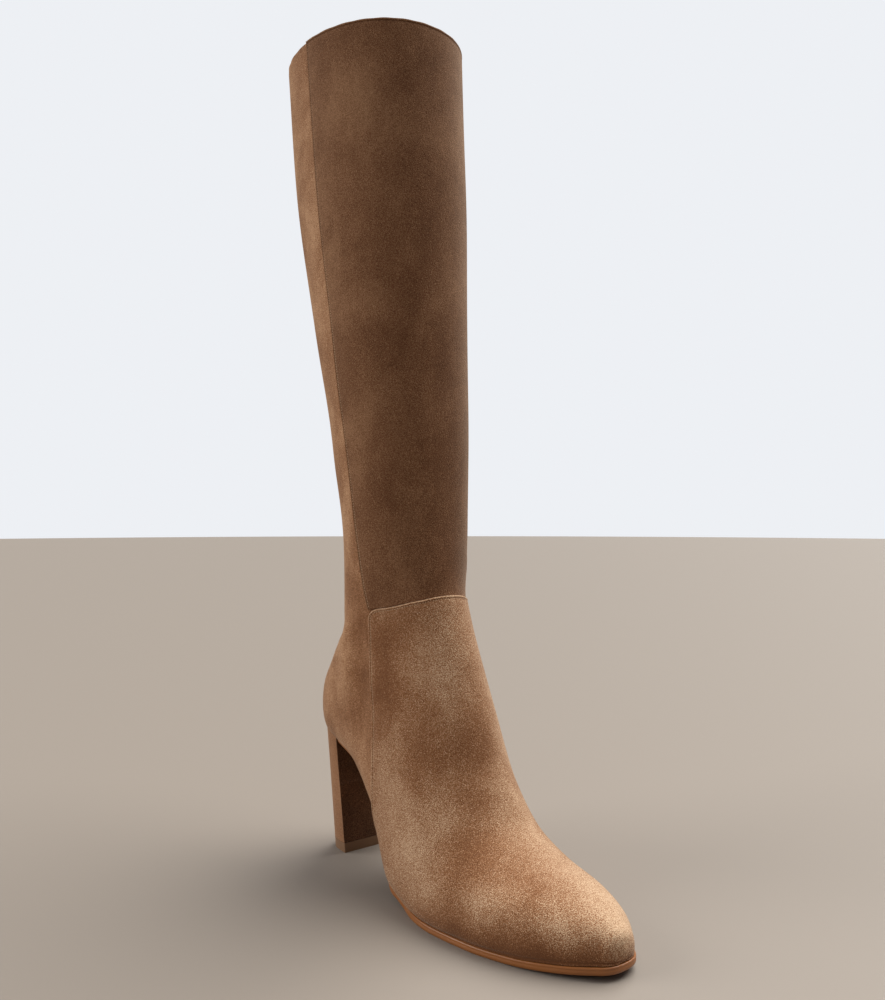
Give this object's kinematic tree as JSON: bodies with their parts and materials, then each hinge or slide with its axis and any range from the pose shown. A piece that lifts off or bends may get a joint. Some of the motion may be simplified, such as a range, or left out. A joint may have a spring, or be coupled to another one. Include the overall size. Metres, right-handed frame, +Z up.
{
  "type": "knee-high boot",
  "caption": "Right knee-high suede boot with an almond toe, a lapped vamp, a thin leather sole and a high block heel, standing on its sole.",
  "frame": {"origin": "on the floor, under the middle of the boot's bounding box", "axes": "+Z up along the shaft, -Y towards the toe, -X towards the outer (lateral) side"},
  "size_m": [0.099, 0.2664, 0.487],
  "materials": {
    "lining_suede": "suede outside, smooth lining inside",
    "vamp_suede": "suede with a short nap",
    "panel_suede": "suede with a short nap",
    "insole_leather": "smooth",
    "sole_leather": "waxed edge",
    "heel_suede": "moulded core covered with suede",
    "top_piece": "matte"
  },
  "bodies": {
    "root": {"upper": "lining_suede", "vamp": "vamp_suede", "front_panel": "panel_suede", "insole": "insole_leather", "outsole": "sole_leather", "heel": "heel_suede", "top_piece": "top_piece"}
  },
  "joints": []
}
